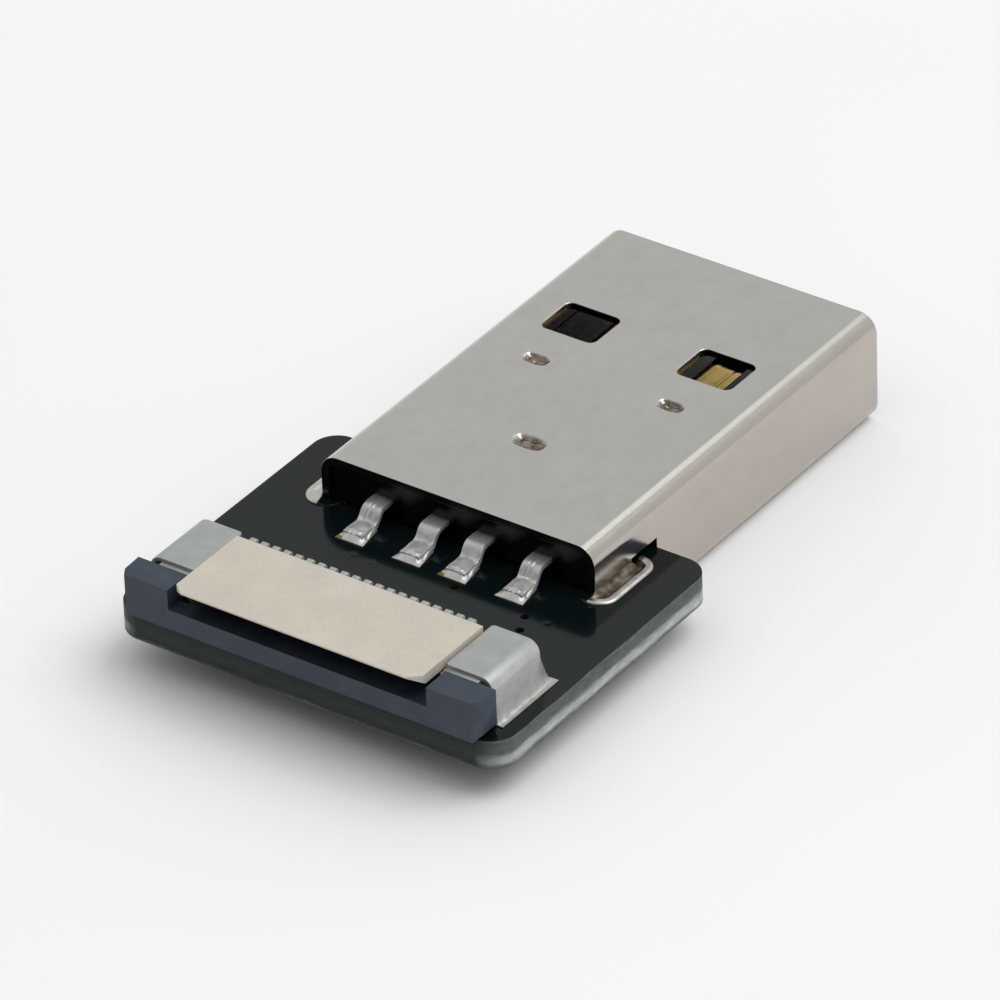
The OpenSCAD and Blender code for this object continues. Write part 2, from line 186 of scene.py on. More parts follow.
def mat_nickel(dent=False):
    m = Mat("nickel_dent" if dent else "nickel_shell")
    m.set(Metallic=1.0, Roughness=0.22)
    g = m.n("ShaderNodeNewGeometry")
    sp = m.n("ShaderNodeSeparateXYZ")
    m.l(g, "Normal", sp, "Vector")
    nx = m.math("ABSOLUTE", (sp, 0))
    # painted shade: faces turned along X (the shell's sides) are multiplied to a darker, warmer grey
    painted_side_shade = m.ramp(nx, 0, [(0.5, (1, 1, 1)), (0.95, (0.955, 0.9, 0.87))])
    big = m.noise(260, 4, 0.6)
    streak = m.noise(1600, 5, 0.62, stretch=(1.0, 0.6, 1.0))
    fine = m.noise(11000, 3, 0.6)
    col = m.ramp(big, "Fac", [(0.3, srgb(187, 185, 180)), (0.7, srgb(194, 191, 185))])
    c2 = m.ramp(streak, "Fac", [(0.28, srgb(182, 180, 175)), (0.5, srgb(191, 189, 184)), (0.75, srgb(197, 195, 190))])
    mx = m.mix(0.45, (col, "Color"), (c2, "Color"))
    mx = m.mix(1.0, (mx, 2), (painted_side_shade, "Color"), "MULTIPLY")
    # painted shade mask: faces turned along Y
    ny = m.math("ABSOLUTE", (sp, 1))
    y_facing_mask = m.ramp(ny, 0, [(0.7, 0.0), (0.93, 1.0)])
    painted_end_shade = m.ramp(streak, "Fac", [(0.3, srgb(62, 62, 62)), (0.7, srgb(92, 91, 89))])
    if not dent:                           # painted shade: faces turned along Y (the sheet's cut ends) go dark grey, standing in for the dark reflection they catch
        mx = m.mix((y_facing_mask, "Color"), (mx, 2), (painted_end_shade, "Color"))
    if dent:                               # painted shade and reflection: the dent's bottom turns a darker brownish grey
        low = m.axis(2, (TOP - 0.12 + SZ) * MM, (TOP - 0.015 + SZ) * MM)
        dent_shade_noise = m.noise(4200, 3, 0.6)
        painted_dent_shade = m.ramp(dent_shade_noise, "Fac", [(0.35, srgb(92, 78, 66)), (0.65, srgb(150, 140, 128))])
        mx = m.mix((low, "Result"), (painted_dent_shade, "Color"), (mx, 2))
    m.t.links.new(mx.outputs[2], m.b.inputs["Base Color"])
    r = m.ramp(fine, "Fac", [(0.3, 0.15), (0.7, 0.23)])
    m.l(r, "Color", m.b, "Roughness")
    b1 = m.bump(streak, "Fac", 1.5e-6, 0.3)
    b2 = m.bump(fine, "Fac", 1.5e-6, 0.5, b1)
    m.l(b2, "Normal", m.b, "Normal")
    return m.m


def mat_tin():
    m = Mat("tin_plate")
    m.set(Metallic=0.72)
    g = m.n("ShaderNodeNewGeometry")
    sp = m.n("ShaderNodeSeparateXYZ")
    m.l(g, "Normal", sp, "Vector")
    nx = m.math("ABSOLUTE", (sp, 0))
    wall = m.ramp(nx, 0, [(0.45, 0.0), (0.95, 1.0)])
    a = m.noise(1500, 4, 0.6)
    f = m.noise(14000, 3, 0.6)
    c = m.ramp(a, "Fac", [(0.3, srgb(167, 171, 168)), (0.7, srgb(179, 183, 179))])
    # painted light: faces turned along X (the nails' sides) take a lighter grey
    painted_side_light = m.ramp(a, "Fac", [(0.3, srgb(184, 186, 183)), (0.7, srgb(198, 200, 196))])
    mx = m.mix((wall, "Color"), (c, "Color"), (painted_side_light, "Color"))
    m.t.links.new(mx.outputs[2], m.b.inputs["Base Color"])
    r = m.ramp(a, "Fac", [(0.3, 0.46), (0.7, 0.58)])
    m.l(r, "Color", m.b, "Roughness")
    b1 = m.bump(a, "Fac", 1.2e-5, 0.5)
    b2 = m.bump(f, "Fac", 1.5e-6, 0.4, b1)
    m.l(b2, "Normal", m.b, "Normal")
    return m.m


def mat_solder(flux_and_reflection=False, dull=False, tail=False):
    m = Mat("solder_flux_and_reflection" if flux_and_reflection else "solder_dull" if dull else "solder_tail" if tail else "solder")
    m.set(Metallic=0.45 if tail else 0.72 if dull else 1.0)
    a = m.noise(2600, 3, 0.5)
    f = m.noise(16000, 2, 0.5)
    c = m.ramp(a, "Fac", [(0.3, srgb(180, 181, 177)), (0.7, srgb(206, 206, 201))])
    # brownish grey: flux smudges plus a painted reflection of the shell's side wall
    if flux_and_reflection:
        c = m.ramp(a, "Fac", [(0.34, srgb(74, 66, 53)), (0.5, srgb(98, 92, 80)), (0.7, srgb(136, 133, 123))])
    if dull:
        c = m.ramp(a, "Fac", [(0.3, srgb(168, 170, 167)), (0.7, srgb(189, 191, 187))])
    if tail:
        c = m.ramp(a, "Fac", [(0.3, srgb(184, 186, 183)), (0.7, srgb(210, 211, 207))])
    m.l(c, "Color", m.b, "Base Color")
    r = m.ramp(a, "Fac", [(0.3, 0.4 if dull else 0.26), (0.7, 0.52 if dull else 0.42)])
    m.l(r, "Color", m.b, "Roughness")
    b1 = m.bump(a, "Fac", 1.6e-5, 0.45)
    b2 = m.bump(f, "Fac", 2e-6, 0.3, b1)
    m.l(b2, "Normal", m.b, "Normal")
    return m.m


def mat_gold():
    m = Mat("gold_plate")
    m.set(Metallic=1.0)
    a = m.noise(2200, 4, 0.6)
    f = m.noise(15000, 3, 0.6)
    c = m.ramp(a, "Fac", [(0.3, srgb(196, 164, 98)), (0.7, srgb(222, 190, 122))])
    m.l(c, "Color", m.b, "Base Color")
    r = m.ramp(a, "Fac", [(0.3, 0.22), (0.7, 0.36)])
    m.l(r, "Color", m.b, "Roughness")
    b = m.bump(f, "Fac", 1.5e-6, 0.4)
    m.l(b, "Normal", m.b, "Normal")
    return m.m


def mat_contact():
    """Gold on the tongue, tin on the soldered tail."""
    m = Mat("gold_plate_contact")
    m.set(Metallic=1.0)
    a = m.noise(2200, 4, 0.6)
    f = m.noise(15000, 3, 0.6)
    lump = m.noise(5200, 3, 0.5)
    gold = m.ramp(a, "Fac", [(0.3, srgb(200, 170, 100)), (0.7, srgb(226, 196, 128))])
    tin = m.ramp(a, "Fac", [(0.3, srgb(192, 194, 191)), (0.7, srgb(216, 217, 213))])
    y = m.axis(1, (0.2 + SY) * MM, (0.9 + SY) * MM)
    mx = m.mix((y, "Result"), (tin, "Color"), (gold, "Color"))
    m.t.links.new(mx.outputs[2], m.b.inputs["Base Color"])
    me = m.ramp(y, "Result", [(0.0, 0.5), (1.0, 1.0)])
    m.l(me, "Color", m.b, "Metallic")
    r = m.ramp(a, "Fac", [(0.3, 0.28), (0.7, 0.42)])
    m.l(r, "Color", m.b, "Roughness")
    b1 = m.bump(lump, "Fac", 1.0e-5, 0.3)
    b = m.bump(f, "Fac", 1.5e-6, 0.4, b1)
    m.l(b, "Normal", m.b, "Normal")
    return m.m


def mat_barrel():
    m = Mat("hole_copper")
    m.set(Metallic=0.6)
    a = m.noise(6000, 3, 0.6)
    c = m.ramp(a, "Fac", [(0.3, srgb(60, 30, 22)), (0.7, srgb(96, 52, 36))])
    m.l(c, "Color", m.b, "Base Color")
    r = m.ramp(a, "Fac", [(0.3, 0.4), (0.7, 0.6)])
    m.l(r, "Color", m.b, "Roughness")
    return m.m


def mat_black():
    m = Mat("black_resin")
    m.set(IOR=1.38)
    a = m.noise(1200, 4, 0.6)
    f = m.noise(20000, 3, 0.6)
    c = m.ramp(a, "Fac", [(0.3, srgb(3, 5, 9)), (0.7, srgb(8, 10, 15))])
    m.l(c, "Color", m.b, "Base Color")
    r = m.ramp(a, "Fac", [(0.3, 0.14), (0.7, 0.22)])
    m.l(r, "Color", m.b, "Roughness")
    b = m.bump(f, "Fac", 7e-7, 0.3)
    m.l(b, "Normal", m.b, "Normal")
    return m.m


def mat_cream():
    m = Mat("cream_resin")
    m.set(IOR=1.5)
    a = m.noise(700, 5, 0.6)
    sp = m.noise(9000, 3, 0.7)
    c = m.ramp(a, "Fac", [(0.3, srgb(197, 190, 177)), (0.7, srgb(209, 202, 187))])
    d = m.ramp(sp, "Fac", [(0.35, srgb(184, 176, 160)), (0.5, srgb(201, 194, 180)), (0.7, srgb(211, 205, 193))])
    mx = m.mix(0.35, (c, "Color"), (d, "Color"))
    # painted shade: faces turned downwards, such as the underside slope of the roof's front, go dark brown
    g = m.n("ShaderNodeNewGeometry")
    sx = m.n("ShaderNodeSeparateXYZ")
    m.l(g, "Normal", sx, "Vector")
    neg = m.math("MULTIPLY_ADD", (sx, 2), 0.5)
    neg.inputs[2].default_value = 0.5
    downward_shade_mask = m.ramp(neg, 0, [(0.3, (1, 1, 1)), (0.45, (0, 0, 0))])
    edge = m.ramp(sp, "Fac", [(0.3, srgb(52, 38, 28)), (0.7, srgb(84, 66, 50))])
    mx = m.mix((downward_shade_mask, "Color"), (mx, 2), (edge, "Color"))
    m.t.links.new(mx.outputs[2], m.b.inputs["Base Color"])
    r = m.ramp(sp, "Fac", [(0.3, 0.48), (0.7, 0.62)])
    m.l(r, "Color", m.b, "Roughness")
    b = m.bump(sp, "Fac", 2.5e-6, 0.5)
    m.l(b, "Normal", m.b, "Normal")
    return m.m


SCUFF = P(-5.85, -9.8, 0.72)


def mat_slate():
    m = Mat("slate_resin")
    m.set(IOR=1.5)
    a = m.noise(900, 4, 0.6)
    sp = m.noise(11000, 3, 0.7)
    c = m.ramp(a, "Fac", [(0.3, srgb(32, 44, 64)), (0.5, srgb(42, 54, 71)), (0.7, srgb(58, 66, 82))])
    d = m.ramp(sp, "Fac", [(0.35, srgb(30, 40, 54)), (0.55, srgb(44, 54, 68)), (0.75, srgb(72, 80, 92))])
    mx = m.mix(0.4, (c, "Color"), (d, "Color"))
    # a small brown scuff low on the left ear's front
    mp = m.n("ShaderNodeMapping")
    mp.inputs["Location"].default_value = (-SCUFF.x / 0.00016, -SCUFF.y / 0.0004, -SCUFF.z / 0.00026)
    mp.inputs["Scale"].default_value = (1 / 0.00016, 1 / 0.0004, 1 / 0.00026)
    m.l(m.tc, "Object", mp, "Vector")
    gr = m.n("ShaderNodeTexGradient", gradient_type="SPHERICAL")
    m.l(mp, "Vector", gr, "Vector")
    spot = m.ramp(gr, "Fac", [(0.1, (0, 0, 0)), (0.45, (0.75, 0.75, 0.75))])
    brown = m.ramp(sp, "Fac", [(0.3, srgb(30, 24, 28)), (0.7, srgb(52, 40, 42))])
    mx = m.mix((spot, "Color"), (mx, 2), (brown, "Color"))
    m.t.links.new(mx.outputs[2], m.b.inputs["Base Color"])
    r = m.ramp(sp, "Fac", [(0.3, 0.42), (0.7, 0.6)])
    m.l(r, "Color", m.b, "Roughness")
    b = m.bump(sp, "Fac", 3e-6, 0.5)
    m.l(b, "Normal", m.b, "Normal")
    return m.m


def mat_board():
    m = Mat("solder_mask")
    m.set(IOR=1.3)
    g = m.n("ShaderNodeNewGeometry")
    s = m.n("ShaderNodeSeparateXYZ")
    m.l(g, "Normal", s, "Vector")
    up = m.math("ABSOLUTE", (s, 2))
    side = m.math("LESS_THAN", (up, 0), 0.5)
    # faces: solder mask
    a = m.noise(500, 4, 0.6)
    weave = m.noise(6000, 3, 0.6)
    c = m.ramp(a, "Fac", [(0.3, srgb(6, 16, 18)), (0.7, srgb(10, 21, 23))])
    # sides: glass-fibre layers in bands, with a painted highlight as the lighter line just under the top edge; faces
    # turned along Y take a darker copy of the bands as painted shade
    z = m.axis(2, (-1.2 + SZ) * MM, SZ * MM)
    rag = m.noise(1500, 5, 0.7, stretch=(0.3, 0.3, 1.6))
    rag2 = m.math("MULTIPLY_ADD", (rag, "Fac"), 0.34)
    rag2.inputs[2].default_value = -0.17
    zz = m.math("ADD", (z, "Result"), (rag2, 0))
    fibre_layers_and_highlight = m.ramp(zz, 0, [(0.0, srgb(104, 112, 108)), (0.06, srgb(112, 120, 116)), (0.2, srgb(204, 209, 207)),
                            (0.38, srgb(184, 190, 188)), (0.52, srgb(108, 117, 115)), (0.9, srgb(98, 106, 104)),
                            (0.96, srgb(120, 128, 122)), (1.0, srgb(60, 68, 68))])
    shaded_end_layers = m.ramp(zz, 0, [(0.0, srgb(112, 120, 112)), (0.05, srgb(86, 94, 88)), (0.12, srgb(54, 63, 62)), (0.4, srgb(64, 72, 68)), (0.8, srgb(52, 62, 60)), (1.0, srgb(40, 48, 48))])
    nx = m.math("ABSOLUTE", (s, 0))
    x_facing_mix = m.ramp(nx, 0, [(0.02, 0.0), (0.45, 0.45), (0.9, 1.0)])
    sidemix = m.mix((x_facing_mix, "Color"), (shaded_end_layers, "Color"), (fibre_layers_and_highlight, "Color"))
    grain = m.noise(5000, 6, 0.8, stretch=(0.35, 0.35, 1.0))
    gr = m.ramp(grain, "Fac", [(0.3, 0.5), (0.72, 1.0)])
    sidecol = m.mix(1.0, (sidemix, 2), (gr, "Color"), "MULTIPLY")
    mx = m.mix((side, 0), (c, "Color"), (sidecol, 2))
    m.t.links.new(mx.outputs[2], m.b.inputs["Base Color"])
    r = m.n("ShaderNodeMix", data_type="FLOAT")
    m.t.links.new(side.outputs[0], r.inputs[0])
    r1 = m.ramp(a, "Fac", [(0.3, 0.09), (0.7, 0.14)])
    m.t.links.new(r1.outputs[0], r.inputs[2])
    r.inputs[3].default_value = 0.7
    m.t.links.new(r.outputs[0], m.b.inputs["Roughness"])
    b = m.bump(weave, "Fac", 1.5e-6, 0.3)
    m.l(b, "Normal", m.b, "Normal")
    return m.m


MATS["nickel_shell"] = mat_nickel()
MATS["tin_plate"] = mat_tin()
MATS["solder"] = mat_solder()
MATS["gold_plate"] = mat_gold()
MATS["black_resin"] = mat_black()
MATS["cream_resin"] = mat_cream()
MATS["slate_resin"] = mat_slate()
MATS["solder_mask"] = mat_board()
CONTACT = mat_contact()
FLUX_AND_REFLECTION = mat_solder(True)
NAILSOLDER = mat_solder(dull=True)
TAILSOLDER = mat_solder(tail=True)
DENT = mat_nickel(True)

# ------------------------------------------------------------------ meshes


def piece(name, me, node, smooth=35):
    """A look mesh that stands for one CAD node."""
    me.shade_smooth()
    me.set_sharp_from_angle(angle=math.radians(smooth))
    o = bpy.data.objects.new(name, me)
    bpy.context.scene.collection.objects.link(o)
    me.materials.append(MATS[SLOT[node]])
    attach(o, BODY[node])
    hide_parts(node)
    return o


def weighted(o):
    w = o.modifiers.new("even_normals", "WEIGHTED_NORMAL")
    w.keep_sharp = True
    w.weight = 60
    return o


def cad_copy(node):
    """Welded copy of a CAD node's mesh, with its flat triangles joined."""
    bm = bmesh.new()
    bm.from_mesh(NODES[node].data)
    bmesh.ops.remove_doubles(bm, verts=bm.verts, dist=2e-7)
    bmesh.ops.dissolve_limit(bm, angle_limit=math.radians(0.6), verts=bm.verts, edges=bm.edges, delimit=set())
    return bm


def clean(bm):
    """Welds what a bevel left lying on itself."""
    bmesh.ops.remove_doubles(bm, verts=bm.verts, dist=2.5e-7)
    bmesh.ops.dissolve_degenerate(bm, dist=2.5e-7, edges=bm.edges)
    bmesh.ops.delete(bm, geom=[v for v in bm.verts if not v.link_faces], context="VERTS")


def edged(node, width, segments=2, angle=32, skip=None, weld=True):
    """CAD shape with its sharp edges rounded."""
    bm = cad_copy(node)
    es = [e for e in bm.edges if len(e.link_faces) == 2 and e.calc_face_angle(0) > math.radians(angle)
          and not (skip and skip(e))]
    if es and width:
        bmesh.ops.bevel(bm, geom=es, offset=width * MM, offset_type="OFFSET", segments=segments,
                        profile=0.5, affect="EDGES", clamp_overlap=True)
    if weld:
        clean(bm)
    me = bpy.data.meshes.new(node + "_look")
    bm.to_mesh(me)
    bm.free()
    return weighted(piece(node + "_look", me, node))



def finish_mesh(name, bm, node, smooth=35, mats=None):
    clean(bm)
    bmesh.ops.recalc_face_normals(bm, faces=bm.faces)
    me = bpy.data.meshes.new(name)
    bm.to_mesh(me)
    bm.free()
    o = piece(name, me, node, smooth)
    for m in mats or ():
        me.materials.append(m)
    return o


def edge_mid(e):
    c = (e.verts[0].co + e.verts[1].co) / 2
    return c.x / MM, c.y / MM - SY, c.z / MM - SZ


def sharp(bm, angle=32):
    return [e for e in bm.edges if len(e.link_faces) == 2 and e.calc_face_angle(0) > math.radians(angle)]


def bevel(bm, es, width, segments):
    if es:
        bmesh.ops.bevel(bm, geom=es, offset=width * MM, offset_type="OFFSET", segments=segments,
                        profile=0.5, affect="EDGES", clamp_overlap=True)


# board, insulator, ribbon connector: the CAD shapes with their edges rounded
VIAS = ((1.36, -2.16), (4.58, -2.36), (4.9, -3.14), (5.49, -2.28), (-2.88, -2.41), (-2.07, -2.5))


def at_via(e):
    x, y, z = edge_mid(e)
    return any((x - a) ** 2 + (y - b) ** 2 < 0.3 ** 2 for a, b in VIAS)


edged("circuit_board", 0.025, 2, skip=at_via)
edged("plug_insulator", 0.05, 2)
edged("ribbon_housing", 0.03, 2, weld=False)
edged("ribbon_slider", 0.05, 2)
edged("ribbon_contacts", 0.03, 2)
edged("ribbon_solder", 0.01, 1)
for node in ("fitting_nail_left", "fitting_nail_right"):
    bm = cad_copy(node)
    corner = []
    for e in sharp(bm):
        a, b = e.verts[0].co, e.verts[1].co
        x, y, z = edge_mid(e)
        if abs(a.z - b.z) > 0.0001 and abs(a.x - b.x) < 1e-6 and abs(a.y - b.y) < 1e-6 and z > 1.6:
            corner.append(e)
    bevel(bm, corner, 0.13, 3)
    bevel(bm, sharp(bm, 40), 0.035, 2)
    weighted(finish_mesh(node + "_look", bm, node))

# ---- shell
WIN_X, WIN_Y = 3.0, 12.23
bm = cad_copy("plug_shell")
rim, rest = [], []
for e in sharp(bm):
    x, y, z = edge_mid(e)
    on_rim = abs(abs(x) - WIN_X) < 1.3 and abs(y - WIN_Y) < 1.05 and abs(z - TOP) < 0.02
    (rim if on_rim else rest).append(e)
ids = [tuple(sorted(v.index for v in e.verts)) for e in rest]
bevel(bm, rim, 0.19, 6)
more = []
for e in sharp(bm):
    x, y, z = edge_mid(e)
    if abs(abs(x) - WIN_X) < 1.3 and abs(y - WIN_Y) < 1.05 and z > 1.5:
        continue
    more.append(e)
bevel(bm, more, 0.025, 2)
weighted(finish_mesh("plug_shell_look", bm, "plug_shell"))


# ---- strips: a stamped contact that follows a path in Y and Z
def rounded_path(pts, r, n=5):
    """Path with its corners turned into arcs."""
    out = [Vector(pts[0])]
    for a, b, c in zip(pts, pts[1:], pts[2:]):
        a, b, c = Vector(a), Vector(b), Vector(c)
        u, v = (a - b), (c - b)
        d = min(r, u.length * 0.45, v.length * 0.45)
        p, q = b + u.normalized() * d, b + v.normalized() * d
        for k in range(n + 1):
            t = k / n
            out.append((1 - t) ** 2 * p + 2 * t * (1 - t) * b + t * t * q)
    out.append(Vector(pts[-1]))
    return out


def resample(path, step):
    out = [path[0]]
    for a, b in zip(path, path[1:]):
        n = max(1, int((b - a).length / step))
        for k in range(1, n + 1):
            out.append(a.lerp(b, k / n))
    return out


def strip(bm, cx, path, width, thick, lift=None, r=0.03, nu=15):
    """Closed strip: path of (y, z), width(y, z), lift(u, y, z) adds to the top side."""
    rings = []
    for i, p in enumerate(path):
        a = path[max(0, i - 1)]
        b = path[min(len(path) - 1, i + 1)]
        t = (b - a).normalized()
        nrm = Vector((-t.y, t.x))
        if nrm.y < 0 or (abs(nrm.y) < 1e-6 and nrm.x > 0):
            nrm = -nrm
        w = width(p.x, p.y) / 2
        ring = []
        for k in range(nu):
            u = -1 + 2 * k / (nu - 1)
            x = u * w
            e = max(0.0, abs(x) - (w - r))
            drop = r - math.sqrt(max(0.0, r * r - e * e))
            h = thick / 2 - drop + (lift(u, p.x, p.y) if lift else 0.0)
            q = p + nrm * h
            ring.append(bm.verts.new(P(cx(p.x) + x, q.x, q.y)))
        for k in range(4, -1, -1):
            u = -1 + 2 * k / 4
            x = u * w
            e = max(0.0, abs(x) - (w - r))
            drop = r - math.sqrt(max(0.0, r * r - e * e))
            q = p - nrm * (thick / 2 - drop)
            ring.append(bm.verts.new(P(cx(p.x) + x, q.x, q.y)))
        rings.append(ring)
    n = len(rings[0])
    for a, b in zip(rings, rings[1:]):
        for k in range(n):
            bm.faces.new((a[k], a[(k + 1) % n], b[(k + 1) % n], b[k]))
    bm.faces.new(rings[0])
    bm.faces.new(rings[-1])


def ns(x, y, z=0.0, scale=1.0, seed=0.0):
    return noise.noise(Vector((x * scale + seed * 7.3, y * scale - seed * 3.1, z * scale + seed)))


TONGUE = 1.97 - 0.3 - 2.05
STRIP = TONGUE - 0.1 - 0.1
LEADS = (("supply_contact", -3.5, 17.1), ("data_contact_minus", -1.0, 16.0),
         ("data_contact_plus", 1.0, 16.0), ("ground_contact", 3.5, 17.1))
for idx, (node, cx, tip) in enumerate(LEADS):
    base = [(tip, STRIP - 0.3), (tip - 0.35, STRIP), (2.9, STRIP), (2.4, 0.65), (-0.3, 0.65),
            (-0.64, 0.16), (-1.6, 0.16)]
    path = resample(rounded_path(base, 0.22), 0.06)

    full = 1.36 if idx in (1, 2) else 1.2
    shift = (0, -0.2, 0.2, 0)[idx]

    def middle(y, cx=cx, shift=shift):
        return cx + shift * min(1.0, max(0.0, (y - 2.6) / 0.5))

    def width(y, z, idx=idx, full=full, tip=tip):
        if y > tip - 0.34:                # round end
            k = (y - tip + 0.34) / 0.36
            return full * max(0.3, math.sqrt(max(0.0, 1 - k * k)))
        if y > 3.1:
            return full
        if y > 2.6:
            return 0.84 + (y - 2.6) / 0.5 * (full - 0.84)
        if y < 0.0:
            return 0.84 + 0.04 * ns(y, 0, 0, 3.0, idx) * min(1.0, -y * 4)
        return 0.84

    def lift(u, y, z, idx=idx):
        h = 0.0
        if y > 8.0:                       # the blade on the tongue: a seam and a rolled edge
            g = (u - 0.4) / 0.075
            h -= 0.1 * math.exp(-g * g)
            h += 0.035 * math.exp(-((u + 0.7) / 0.12) ** 2)
            h += 0.006 * ns(u, y, 0, 2.5, idx)
        elif y < -0.1:                    # tinned tail: a lumpy film
            k = min(1.0, (-0.1 - y) / 0.15)
            h += k * (0.018 * ns(u, y, z, 2.6, idx + 1) + 0.008 * ns(u, y, z, 6.0, idx + 5))
            if idx in (0, 3):             # folds down the middle of the two outer tails
                h -= k * (0.05 * math.exp(-((u - 0.16) / 0.09) ** 2) + 0.04 * math.exp(-((u + 0.3) / 0.08) ** 2))
        return h

    bm = bmesh.new()
    strip(bm, middle, path, width, 0.2, lift, nu=37)
    o = finish_mesh(node + "_look", bm, node, 50)
    o.data.materials[0] = CONTACT


# ---- solder on the tails
def height_patch(bm, x0, x1, y0, y1, nx, ny, h, z0, place=P):
    """Closed patch with top height h(x, y) over the flat z0."""
    top, bot = [], []
    for j in range(ny + 1):
        for i in range(nx + 1):
            x, y = x0 + (x1 - x0) * i / nx, y0 + (y1 - y0) * j / ny
            top.append(bm.verts.new(place(x, y, max(h(x, y), z0 + 0.002))))
            bot.append(bm.verts.new(place(x, y, z0)))
    at = lambda i, j: j * (nx + 1) + i
    for j in range(ny):
        for i in range(nx):
            q = (at(i, j), at(i + 1, j), at(i + 1, j + 1), at(i, j + 1))
            bm.faces.new([top[k] for k in q])
            bm.faces.new([bot[k] for k in reversed(q)])
    ring = [at(i, 0) for i in range(nx)] + [at(nx, j) for j in range(ny)] + \
           [at(i, ny) for i in range(nx, 0, -1)] + [at(0, j) for j in range(ny, 0, -1)]
    for a, b in zip(ring, ring[1:] + ring[:1]):
        bm.faces.new((top[b], top[a], bot[a], bot[b]))


def foot_patch(bm, cx, y0, y1, w0, w1, nx, ny, h, z0):
    """Closed patch over a pad that is w0 wide at y0 and w1 wide at y1."""
    def place(u, v, z):
        y = y0 + (y1 - y0) * v
        return P(cx + u * (w0 + (w1 - w0) * v) / 2, y, z)
    height_patch(bm, -1, 1, 0, 1, nx, ny, lambda u, v: h(u, y0 + (y1 - y0) * v), z0, place=place)


for idx, (node, cx, tip) in enumerate(LEADS):
    def h(u, y, idx=idx):
        """Solder over one tail's foot: u across the pad from -1 to 1."""
        a = abs(u)
        core = 0.68 - 0.1 * min(1.0, max(0.0, (-0.9 - y) / 0.8))
        side = 1.0 if a < core else max(0.0, 1 - (a - core) / (1.0 - core)) ** 1.35
        crown = 1 - 0.22 * (a / core) ** 2 if a < core else 0.78
        e = min(1.0, max(0.0, (-1.36 - y) / 0.47))
        front = 1 - e * e * (1.6 - 0.6 * e)
        z = 0.04 + 0.27 * side * crown * front
        z += side * front * (0.018 * ns(u, y, 0, 2.0, idx + 2) + 0.006 * ns(u, y, 0, 5.2, idx + 8))
        # a bright bead near the front corner on the right
        z += 0.045 * math.exp(-((u - 0.36) / 0.16) ** 2 - ((y + 1.5) / 0.1) ** 2)
        if idx in (0, 2) and u < -0.5 and y < -1.62:      # bare gold at the pad's corner
            z -= 0.1 * min(1.0, (-0.5 - u) / 0.16) * min(1.0, (-1.62 - y) / 0.08)
        return z
    bm = bmesh.new()
    foot_patch(bm, cx, -1.832, -0.72, 1.222, 0.915, 40, 36, h, 0.02)
    # solder drawn up the tail's slope
    base = [(-0.43, 0.46), (-0.64, 0.17), (-1.1, 0.1), (-1.4, 0.0)]
    path = resample(rounded_path(base, 0.16), 0.03)

    def flare(y, z, idx=idx):
        k = min(1.0, max(0.0, (-0.43 - y) / 0.8))
        return 0.8 + 0.26 * k ** 1.1 + 0.04 * ns(y, idx, 0, 4.0, idx) * min(1, k * 4)

    def lumps(u, y, z, idx=idx):
        k = min(1.0, max(0.0, (-0.43 - y) / 0.2))
        h = k * (0.016 + 0.016 * ns(u, y, z, 2.2, idx + 11) + 0.006 * ns(u, y, z, 5.0, idx + 15))
        if idx in (0, 3):
            a = max(0.0, 1 - ((y + 0.6) / 0.36) ** 2)
            h -= a * (0.06 * math.exp(-((u - 0.16) / 0.1) ** 2) + 0.05 * math.exp(-((u + 0.3) / 0.09) ** 2))
        return h - 0.07 * abs(u) ** 3 * k

    strip(bm, lambda y, cx=cx: cx, path, flare, 0.22, lumps, nu=27)
    o = finish_mesh("lead_solder_%d_look" % (idx + 1), bm, "lead_solder_%d" % (idx + 1), 80)
    o.data.materials[0] = TAILSOLDER


# ---- solder round the shell's legs
def tab_patch(bm, s, h, z0, n_arc=24, n_side=30, rows=16, r0=0.745, half=1.0):
    cx, cy = s * 6.03, 1.28
    loops = []
    for k in range(rows + 1):
        r = r0 * (1 - (k / rows) ** 1.0) + 0.012
        pts = []
        for i in range(n_arc):
            a = math.pi * i / n_arc
            pts.append((r * math.cos(a), half + r * math.sin(a)))
        for i in range(n_side):
            pts.append((-r, half - 2 * half * i / n_side))
        for i in range(n_arc):
            a = math.pi + math.pi * i / n_arc
            pts.append((r * math.cos(a), -half + r * math.sin(a)))
        for i in range(n_side):
            pts.append((r, -half + 2 * half * i / n_side))
        loops.append([bm.verts.new(P(cx + s * x, cy + y, max(z0 + 0.002, h(x, y, (r0 + 0.012) - r)))) for x, y in pts])
    n = len(loops[0])
    for a, b in zip(loops, loops[1:]):
        for k in range(n):
            bm.faces.new((a[k], a[(k + 1) % n], b[(k + 1) % n], b[k]))
    bm.faces.new(loops[-1])
    base = [bm.verts.new(Vector((v.co.x, v.co.y, (z0 + SZ) * MM))) for v in loops[0]]
    for k in range(n):
        bm.faces.new((base[k], base[(k + 1) % n], loops[0][(k + 1) % n], loops[0][k]))
    bm.faces.new(base)


